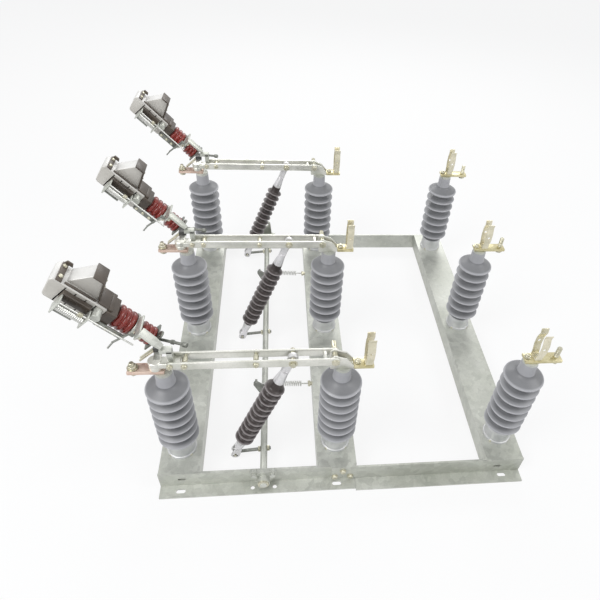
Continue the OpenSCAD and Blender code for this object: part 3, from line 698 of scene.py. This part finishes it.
# ---------------------------------------------------------------- fuse bars and terminals
# Plated brass bars carry the fuse clips: a short one joins the hinge to the middle clip,
# a long one on the right insulator ends in the outgoing stud with its nuts.
brass = zinc("plated_brass", (0.56, 0.49, 0.27), (0.80, 0.74, 0.50), (0.22, 0.4), 55, 18, 0.7, 0.9, 0.06)
bar_bolt = hexagon(13, 6, fastener, washer=16, shank=8, shank_height=9)
short_bar = [block((bracket_end, -half_bar, bar_z), (hinge_x + 88.6, half_bar, bar_top), brass, 1.2),
             copy_of(bar_bolt, at(hinge_x + 52, 0, bar_top + 1.2))]
fit(in_each_row("middle_fuse_bar", short_bar), "root", "plated_brass", "fuse_bars")
thread = [(5.4, 0), (6, 0.6)]
for i in range(16):
    thread += [(6, 1.5 + i * 1.75), (5.5, 2.3 + i * 1.75)]
stud_x = xr + 58
long_bar = [block((xr - 20, -half_bar, bar_z), (xr + 70, half_bar, bar_top), brass, 1.2),
            moved_to(bar_bolt, at(xr - 12, 0, bar_top + 1.2)),
            moved_to(turned(thread + [(4.8, 30)], 24, fastener), at(stud_x, 0, bar_top)),
            moved_to(hexagon(19, 9, fastener), at(stud_x, 0, bar_z, "-Z"))]
fit(in_each_row("right_fuse_bar", long_bar), "root", "plated_brass", "fuse_terminals")

# ---------------------------------------------------------------- fuse clips
# Sprung bronze clips, two bowed leaves to each, punched with a hole and flared at the lips
# so that a fuse's end cap can be pushed in.
bronze = zinc("sprung_bronze", (0.68, 0.63, 0.47), (0.84, 0.80, 0.66), (0.26, 0.42), 65, 18, 0.85, 0.75, 0.04)

clip_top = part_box("fuse_clips_right")[1].z


def punched(piece, radius, depth, centre, across="Y", sides=28):
    """Cuts a round hole through piece about centre, in mm."""
    nothing_selected()
    turn = {"X": (0, math.pi / 2, 0), "Y": (math.pi / 2, 0, 0)}[across]
    bpy.ops.mesh.primitive_cylinder_add(vertices=sides, radius=radius * mm, depth=depth * mm, rotation=turn,
                                        location=[c * mm for c in centre])
    punch = bpy.context.object
    apply_modifier(piece, "BOOLEAN", operation="DIFFERENCE", object=punch, solver="EXACT")
    bpy.data.objects.remove(punch)
    return piece


def fuse_clip(x):
    """One clip at x: two leaves, a base plate and its bolt."""
    height, half_width = clip_top / mm - bar_top, 9.0
    shape = [(10, 0), (10, 0.05), (10.2, 0.11), (11.4, 0.2), (13.4, 0.29), (14.7, 0.36), (15, 0.42),
             (15, 0.58), (14.5, 0.65), (12.8, 0.73), (10.6, 0.8), (9.5, 0.84), (9.7, 0.88),
             (10.7, 0.94), (12, 1)]
    inside = [(y, z * height) for y, z in shape]
    parts = []
    for side in (-1, 1):
        leaf = [(side * y, z) for y, z in inside] + [(side * (y + 2), z) for y, z in reversed(inside)]
        piece = cut_out(leaf, -half_width, half_width, bronze, "X", 0.4, 1)
        parts.append(punched(piece, 3.5, 20, (0, side * 20, height / 2), sides=24))
    parts.append(block((-half_width, -10, 0), (half_width, 10, 3), bronze, 0.5))
    parts.append(moved_to(hexagon(10, 5, fastener), at(0, 0, 3)))
    return [moved_to(part, Matrix.Translation((x * mm, 0, bar_top * mm))) for part in parts]


fit(in_each_row("middle_fuse_clip", fuse_clip(xm + 57)), "root", "clip_bronze", "fuse_clips_middle")
fit(in_each_row("right_fuse_clip", fuse_clip(xr + 9)), "root", "clip_bronze", "fuse_clips_right")

# ---------------------------------------------------------------- drive shaft
# A galvanised tube runs under the three phases in two bearings. Each crank is a round rod
# through the shaft, held by a nut on either side, with an eye and pin at its end.
shaft_x, shaft_z, shaft_r = xm - 187, 33.0, 9.0
pin_x, pin_z = shaft_x - 74, shaft_z - 9
shaft_low, shaft_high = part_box("shaft")
tube_start, tube_end = shaft_low.y / mm, shaft_high.y / mm
tube = turned([(6.4, tube_start), (8.6, tube_start), (shaft_r, tube_start + 0.6), (shaft_r, -160),
               (shaft_r, 160), (shaft_r, tube_end - 0.6), (8.6, tube_end), (6.4, tube_end)], 32, galvanised)
parts = [moved_to(tube, at(shaft_x, 0, shaft_z, "Y"))]
for y, toward in ((tube_start + 8, "-Y"), (tube_end - 8, "Y")):
    collar = pin(14, 0, 6, fastener, 32, inward=0.6, along=0.6)
    parts.append(moved_to(collar, at(shaft_x, y, shaft_z, toward)))
fit(one_piece("drive_shaft", parts), "shaft", "galvanised_frame", "shaft")

crank_tilt = math.atan2(pin_x - shaft_x, pin_z - shaft_z)
crank_place = Matrix.Translation((shaft_x * mm, 0, shaft_z * mm)) @ Matrix.Rotation(crank_tilt, 4, "Y")
crank = [turned([(4, -18), (4.5, -17.4), (4.5, 60), (5.6, 64), (5.6, 68), (4.6, 70)], 20, weathered)]
for z, toward in ((shaft_r + 0.2, "Z"), (-shaft_r - 0.2, "-Z")):
    crank.append(moved_to(hexagon(14, 6, fastener), at(0, 0, z, toward)))
crank = [moved_to(part, crank_place) for part in crank]
crank_eye = pin(7.5, -5, 5, weathered, 24, inward=0.6, along=0.6)
for part in (crank_eye, pin(3, -13, 13, fastener, 16)):
    crank.append(moved_to(part, at(pin_x, 0, pin_z, "Y")))
fit(in_each_row("crank", crank), "shaft", "galvanised_dark", "cranks")

# ---------------------------------------------------------------- pull rods
# Insulated pull rods: a glass-fibre core in a dark brown ribbed sleeve, crimped into
# smooth plated ferrules, with a fork on the crank pin and an eye on the blade pin.
# The sleeve's shed rims carry a painted highlight in a light brown-grey.
sleeve = skin("brown_sleeve", (0.018, 0.012, 0.011), (0.036, 0.025, 0.023), (0.3, 0.45), 0.0, 16, 800, 0.1,
              dust_and_top_light=(0.24, 0.21, 0.20), dust_and_top_light_amount=0.2, rim_highlight=(0.30, 0.27, 0.27))
ferrule = zinc("plated_ferrule", (0.68, 0.67, 0.69), (0.84, 0.83, 0.84), (0.28, 0.42), 80, 16, 0.8,
               metal=0.65, bump=0.05)
rod_dx, rod_dz = pivot_x - pin_x, blade_z - pin_z
rod_length = math.hypot(rod_dx, rod_dz)
lean = Matrix.Rotation(math.atan2(rod_dx, rod_dz), 4, "Y")
core_end = rod_length - 86
rod_pitch = (core_end - 100) / 10
rings = [(13, 58), (14, 58.6)]
for i in range(11):
    z = 74 + i * rod_pitch
    rings += [(14, z - 6), (15, z - 4), (22.5, z - 1.6), (23.8, z - 1.2), (24.5, z - 0.4), (24.5, z + 0.4),
              (23.8, z + 1.1), (20, z + 2), (15.5, z + 4.4), (14, z + 6.6)]
rings += [(14, core_end - 0.6), (13, core_end)]
for number, y in enumerate(rows, 1):
    place = Matrix.Translation((pin_x * mm, y, pin_z * mm)) @ lean
    sheath = turned(rings, 40, sleeve)
    mark_rim_highlights(sheath, 22.2, 24.2)
    sheath.name = "pull_rod_sleeve_%d" % number
    fit(moved_to(sheath, place), "pull_rod_%d" % number, "rod_shed", "pull_rod_%d" % number)
    ends = [turned([(9.4, 24), (10, 24.6), (12.4, 44), (13.9, 56.5), (13.4, 58)], 32, ferrule),
            turned([(13.4, core_end), (13.9, core_end + 1.5), (12.6, core_end + 12), (10.6, core_end + 26),
                    (9.5, core_end + 37), (9, core_end + 38)], 32, ferrule),
            block((-9, -11, 19), (9, 11, 25), ferrule, 1.2)]
    for side in (-1, 1):
        cheek = [(-9, 20), (-11.3, 4)] + arc(0, 0, 11.5, 165, 375, 14) + [(11.3, 4), (9, 20)]
        a, b = sorted((side * 7, side * 11))
        ends.append(punched(cut_out(cheek, a, b, ferrule, "Y", 0.5, 1), 7, 60, (0, 0, 0)))
    eye = arc(0, rod_length, 12, -41, 221, 20) + [(-9, rod_length - 50), (9, rod_length - 50)]
    ends.append(punched(cut_out(eye, -6, 6, ferrule, "Y", 1.2, 2), 6.1, 40, (0, 0, rod_length)))
    fit(moved_to(one_piece("pull_rod_end_%d" % number, ends), place), "pull_rod_%d" % number, "rod_ferrule",
        "rod_ends_%d" % number)

# ---------------------------------------------------------------- opening springs
# Two zinc-plated tension springs, hooked from a lever on the shaft to a lug on the middle
# beam. They shorten as the blades open.
wire = zinc("spring_wire", (0.56, 0.56, 0.54), (0.78, 0.78, 0.76), (0.22, 0.38), 300, 40, 0.8, 0.9, 0.04)
shaft_axis = Vector((shaft_x, 0, shaft_z))
lever_length, lever_back = 40, math.radians(36)
lever = shaft_axis + lever_length * Vector((-math.sin(lever_back), 0, math.cos(lever_back)))
anchor = Vector((xm - 59, 0, 59))
span = (anchor - lever).length
lie = Matrix.Rotation(math.atan2(anchor.x - lever.x, anchor.z - lever.z), 4, "Y")
spring_y = [(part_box(n)[0].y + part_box(n)[1].y) / 2 / mm for n in ("spring_front", "spring_rear")]
coil_turns = 17
for end_name, y in zip(("front", "rear"), spring_y):
    nothing_selected()
    bpy.ops.mesh.primitive_circle_add(vertices=10, radius=1.1 * mm, location=(7.2 * mm, 0, 34 * mm),
                                      rotation=(math.pi / 2, 0, 0))
    coils = bpy.context.object
    bpy.ops.object.transform_apply(location=True, rotation=True)
    apply_modifier(coils, "SCREW", axis="Z", screw_offset=(span - 58) / coil_turns * mm,
                   iterations=coil_turns, steps=20, render_steps=20, use_smooth_shade=True,
                   use_normal_calculate=True)
    bpy.ops.object.mode_set(mode="EDIT")
    bpy.ops.mesh.select_all(action="SELECT")
    bpy.ops.mesh.fill_holes(sides=12)
    bpy.ops.mesh.normals_make_consistent(inside=False)
    bpy.ops.object.mode_set(mode="OBJECT")
    coils.data.materials.append(wire)
    parts = [coils]
    for z_end, z_coil in ((15.0, 34.0), (span - 4.4, span - 24.0)):
        low, high = min(z_end, z_coil), max(z_end, z_coil)
        parts.append(pin(2, low, high, wire, 12, along=0.5))
        parts.append(moved_to(pin(8.3, -1.2, 1.2, wire, 28), at(0, 0, z_coil)))
    place = Matrix.Translation(Vector((lever.x, y, lever.z)) * mm) @ lie
    spring = fit(moved_to(one_piece("spring_coils_" + end_name, parts), place), "root", "spring_steel",
                 "spring_" + end_name)
    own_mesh(spring)
coat(fastener, "spring_anchors")

# ---------------------------------------------------------------- arc chutes
# Over each left contact leans an arc chute: a moulded beige housing with a fin, a brown cap,
# nose strap and base block, screwed to a red bushing.
# The beige housing's thick near-white dust colour paints the light falling on its upward faces.
shell = skin("beige_moulding", (0.46, 0.44, 0.40), (0.60, 0.58, 0.54), (0.32, 0.5), 0.15, 10, 500, 0.12,
             dust_and_top_light=(0.92, 0.91, 0.89), dust_and_top_light_amount=1.3)
brown = skin("brown_moulding", (0.052, 0.040, 0.031), (0.105, 0.082, 0.063), (0.28, 0.46), 0.0, 14, 500, 0.15,
             dust_and_top_light=(0.34, 0.30, 0.26), dust_and_top_light_amount=0.25)
chute_tilt = math.radians(48)
chute_back, chute_aside, chute_up = 137.6, 45, 190
chute_places = [Matrix.Translation((x_left - chute_back * mm, y + chute_aside * mm, head_z + chute_up * mm)) @
                Matrix.Rotation(chute_tilt, 4, "Y") for y in rows]
ce = 60.0  # where the housing ends along the chute's own X, in mm
body = cut_out([(-46, -44), (-52, -40), (-62, 0), (-60, 6), (-56, 8), (ce, 8), (ce, -40), (ce - 4, -44)],
               -8, 44, shell, "Y", 3.0, 3)
fin = cut_out([(-34, 6), (-8, 50), (-5, 54), (16, 54), (34, 12), (34, 6)], 6, 44, shell, "Y", 1.8, 3)
housing = [body, fin]
for x in (-30, -8, 14, 36):
    housing.append(block((x, -8.0, -42), (x + 3, -7.2, 5), shell, 0.2, 1))
fit(in_each_row("chute_housing", housing, chute_places), "root", "chute_shell", "chute_housings")

cap = cut_out([(-7, 54), (-7, 58), (18, 58), (38, 12), (34, 12), (16, 54)], 0, 44, brown, "Y", 0.9, 2)
strap = block((-54, -8, 8), (-42, 44, 12), brown, 0.9)
wing = cut_out([(-52, 12), (-34, 12), (-38, 20), (-50, 20)], 40, 44, brown, "Y", 0.6)
rib = block((-36, -5, 8), (32, 0, 12), brown, 1.4, 3)
caps = [cap, strap, wing, rib]
for z in (24, 40):
    caps.append(moved_to(hexagon(6, 1.2, fastener), at(37.5 - (z - 12) * 0.435, 30, z, "X")))
for y in (4, 34):
    caps.append(moved_to(hexagon(7, 3.4, fastener, washer=9), at(-48, y, 12)))
fit(in_each_row("chute_cap", caps, chute_places), "root", "chute_brown", "chute_caps")

bush_y, bush_z = 22, -18
base = [block((ce, -8, -43), (ce + 24, 44, 6), brown, 1.6, 3),
        block((ce - 24, -4, 8), (ce, 44, 12), brown, 0.8),
        block((ce, -4, 6), (ce + 10, 44, 12), brown, 1.0),
        block((-28, -20, -20), (33, -8, 0), brown, 1.6, 3),
        moved_to(turned([(16, 0), (17, 0.8), (17, 4)], 32, brown), at(ce + 24, bush_y, bush_z, "X"))]
fit(in_each_row("chute_base", base, chute_places), "root", "chute_brown", "chute_bases")

# ---------------------------------------------------------------- red bushings
# Two ribbed bushings of glazed red-brown resin on each chute: a wide one under the base
# block and a narrower one on the tripping link below it.
red = skin("red_resin", (0.17, 0.010, 0.007), (0.30, 0.024, 0.015), (0.18, 0.34), 0.0, 22, 300, 0.08,
           dust_and_top_light=(0.50, 0.26, 0.20), dust_and_top_light_amount=0.12, coat_weight=0.35)


def ribbed(radius, length, ribs):
    """A ribbed bushing along Z, with rounded ribs and deep grooves."""
    step = length / ribs
    rings = [(radius - 6, 0), (radius - 4.2, 0.3)]
    for i in range(ribs):
        z = i * step
        rings += [(radius - 4, z + step * 0.08), (radius - 1.2, z + step * 0.2), (radius, z + step * 0.36),
                  (radius, z + step * 0.64), (radius - 1.2, z + step * 0.8), (radius - 4, z + step * 0.92)]
    return turned(rings + [(radius - 4.2, length - 0.3), (radius - 6, length)], 40, red)


for name, node, radius, length, start in (("upper_bushing", "chute_insulators", 27, 41, ce + 28),
                                          ("lower_bushing", "link_insulators", 22.5, 34, ce + 90)):
    bushing = moved_to(ribbed(radius, length, 3), at(start, bush_y, bush_z, "X"))
    fit(in_each_row(name, [bushing], chute_places), "root", "red_insulator", node)

# ---------------------------------------------------------------- end plates and arms
# A round steel end plate with a tongue closes each upper bushing, and a riveted strip runs
# beside it; a strap arm from an upright on the contact carries both.
plates = [moved_to(pin(28, 0, 5, galvanised, 48, inward=1, along=0.9), at(ce + 69, bush_y, bush_z, "X")),
          block((ce + 69.3, -39, 6), (ce + 73.7, 22, 24), galvanised, 1.2),
          block((ce, -12, -40), (ce + 66, -8, -26), weathered, 0.8),
          moved_to(pin(10, -11, 11, galvanised, 28, inward=1, along=0.8), at(47, -19, -6, "Y"))]
rivet = [(3.4, 0), (4, 0.4), (4, 2.4), (3.2, 3)]
for x in (66, 86, 106):
    plates.append(moved_to(turned(rivet, 16, fastener), at(x, -12, -33, "-Y")))
for y, z in ((-32, 15), (42, -18), (22, -38), (2, -18)):
    plates.append(moved_to(hexagon(10, 6, fastener), at(ce + 74, y, z, "X")))
fit(in_each_row("chute_end_plate", plates, chute_places), "root", "zinc_fastener", "chute_side_plates")

upright = [block((xl + 2, -7.5, blade_z + 30), (xl + 28, 7.5, blade_z + 40), galvanised, 1.0),
           block((xl + 16, -7.5, blade_z + 2), (xl + 28, 7.5, blade_z + 36), galvanised, 1.0)]
arm_turn = (Matrix.Translation((ce + 66.5) * mm * Vector((1, 0, 0)) + Vector((0, -27, 26)) * mm)
            @ Matrix.Rotation(math.radians(-19), 4, "Z") @ Matrix.Rotation(math.radians(-9), 4, "Y"))
strap = cut_out([(4.2, -12), (ce - 22, -12), (ce - 3, -7.5), (ce - 3, 7.5), (ce - 22, 12), (4.2, 12)],
                -3, 3, galvanised, "Z", 1.0)
arms = [copy_of(part, place) for place in row_places for part in upright]
arms += [copy_of(strap, place @ arm_turn) for place in chute_places]
for part in upright + [strap]:
    bpy.data.objects.remove(part)
fit(one_piece("chute_arm", arms), "root", "galvanised_frame", "chute_arms")

# ---------------------------------------------------------------- dampers and trip rods
# Beside each chute: a long thin rod, a spring barrel and a short rod between two small
# plates; below the bushings a neck, a plate with an eye and the tripping rod.
damper_y = -38
damper = [moved_to(pin(2, -28, ce + 80, wire, 12, inward=0.3), at(0, damper_y, -8, "X"))]
rings = [(6.6, -25)]
for i in range(15):
    rings += [(6.9, -24.4 + i * 3.7), (8, -23.4 + i * 3.7), (8, -22.4 + i * 3.7), (6.9, -21.4 + i * 3.7)]
damper.append(moved_to(turned(rings + [(6.6, 32)], 24, wire), at(0, damper_y, -19, "X")))
damper.append(moved_to(pin(2.5, -25, 14, weathered, 14, inward=0.3), at(0, damper_y, -31, "X")))
for x in (-28, 32):
    damper.append(block((x, -46, -36), (x + 3, -20, -2), galvanised, 0.5))
damper.append(moved_to(hexagon(9, 10, fastener), at(14, damper_y, -8, "X")))
fit(in_each_row("chute_damper", damper, chute_places), "root", "spring_steel", "chute_dampers")

neck_rings = [(9.4, 74), (10, 74.6), (8.6, 80), (8.6, 84), (10, 89.4), (9.4, 90)]
neck = [moved_to(turned(neck_rings, 28, weathered), at(ce, bush_y, bush_z, "X")),
        block((ce + 124, -2, -40), (ce + 128, 46, 4), weathered, 1.0)]
eye = cut_out(arc(10, 0, 10, 0, 352.5, 47), ce + 124, ce + 128, weathered, "X", 0.5, 1)
neck.append(moved_to(punched(eye, 4, 20, (ce + 126, 10, 0), "X", 24), at(0, 0, 10)))
single = one_piece("trip_link", neck)
trip = [copy_of(single, place) for place in chute_places]
bpy.data.objects.remove(single)
rod_start = ce + 131
start = Vector((xl - chute_back + rod_start * math.cos(chute_tilt) + bush_z * math.sin(chute_tilt),
                chute_aside + bush_y,
                hz + chute_up - rod_start * math.sin(chute_tilt) + bush_z * math.cos(chute_tilt)))
end = Vector((xl + 47, 36, blade_z + 10))
reach = (end - start).length
aim = (end - start).to_track_quat("Z", "Y").to_matrix().to_4x4()
nut = reach * 0.55
rod = turned([(3.2, -4), (3.5, -3.6), (3.5, nut), (5.2, nut + 0.6), (5.5, nut + 2), (5.5, nut + 7),
              (3.5, nut + 8), (3.5, reach - 6), (5.2, reach - 5.4), (6, reach - 3), (6, reach + 3),
              (5, reach + 5.6), (2, reach + 6)], 20, weathered)
trip += [copy_of(rod, place @ Matrix.Translation(start * mm) @ aim) for place in row_places]
bpy.data.objects.remove(rod)
fit(one_piece("trip_link", trip), "root", "galvanised_dark", "link_rods")

# ---------------------------------------------------------------- catches
# A slanting rod with a bent end beside each end plate, and on the contact post a black block
# that paints the shade seen there, with two long bolts pointing back under the chute.
slant = at(ce + 60, -28, 8) @ Matrix.Rotation(math.pi + math.atan2(18, 72), 4, "X")
hook = at(0, 0, 66) @ Matrix.Rotation(math.radians(-40), 4, "X")
catch = [moved_to(pin(2.5, 0, 70, weathered, 14, inward=0.3), slant),
         moved_to(turned([(1.9, 0), (2, 0.3), (2, 17.6), (1.7, 18)], 12, weathered), slant @ hook),
         moved_to(pin(4, -6, 6, weathered, 16), at(ce + 63, -27, 4, "X"))]
fit(in_each_row("trip_hook", catch, chute_places), "root", "galvanised_dark", "catch_rods")
# The black block is painted shade above each contact post.
shade_black = skin("painted_shade_black", (0.03, 0.03, 0.03), (0.06, 0.06, 0.06), (0.35, 0.5), 0.0, 20, 500, 0.1)
shade_block = [block((xl - 19, 23, blade_z - 4), (xl - 1, 41, blade_z + 14), shade_black, 1.5, 3)]
for y in (28, 36):
    place = at(xl - 15, y, blade_z + 6) @ Matrix.Rotation(chute_tilt - math.pi, 4, "Y")
    shade_block.append(moved_to(pin(2.5, 0, 52, fastener, 14, inward=0.3), place))
fit(in_each_row("shade_block", shade_block), "root", "galvanised_dark", "catch_blocks")
